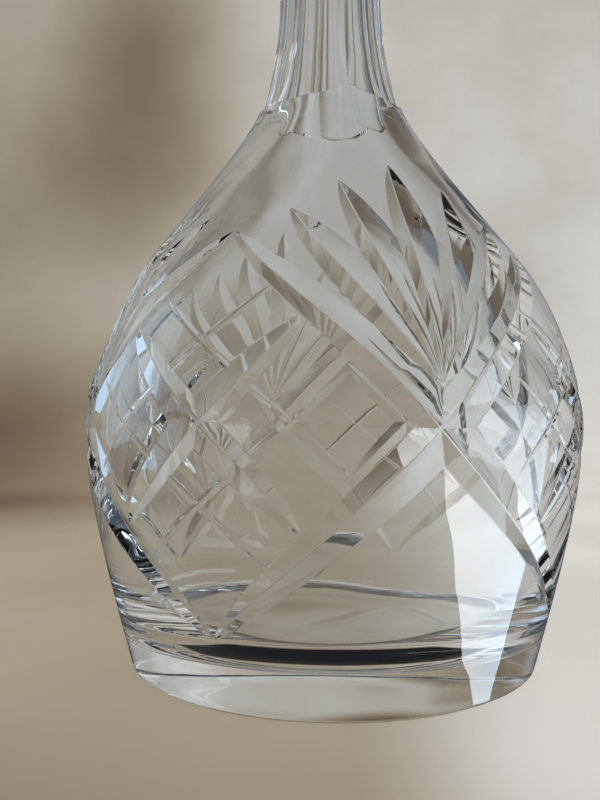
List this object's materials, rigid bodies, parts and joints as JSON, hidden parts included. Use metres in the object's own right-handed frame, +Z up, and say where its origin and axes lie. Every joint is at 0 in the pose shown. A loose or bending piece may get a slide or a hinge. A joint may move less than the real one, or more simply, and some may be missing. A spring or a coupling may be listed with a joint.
{
  "type": "wine decanter",
  "caption": "Cut glass wine decanter: round-shouldered bottle with mitre-cut diamonds and fans, fluted neck, flared lip and a lift-out faceted stopper.",
  "frame": {"origin": "centre of the base, on the surface that the bottle stands on", "axes": "+Z up the axis of the bottle and the stopper; -Y is the middle of one cut fan, which is the front"},
  "size_m": [0.1242, 0.1242, 0.2795],
  "materials": {
    "bottle_glass": "polished clear crystal, wheel-cut mitres with bright facets",
    "stopper_glass": "polished clear crystal facets, fine-ground shank"
  },
  "bodies": {
    "bottle": {"bottle": "bottle_glass"},
    "stopper": {"stopper": "stopper_glass"}
  },
  "joints": [
    {"name": "stopper_lift", "type": "slide", "parent": "bottle", "child": "stopper", "axis": [0, 0, 1], "range_m": [0, 0.06]}
  ]
}
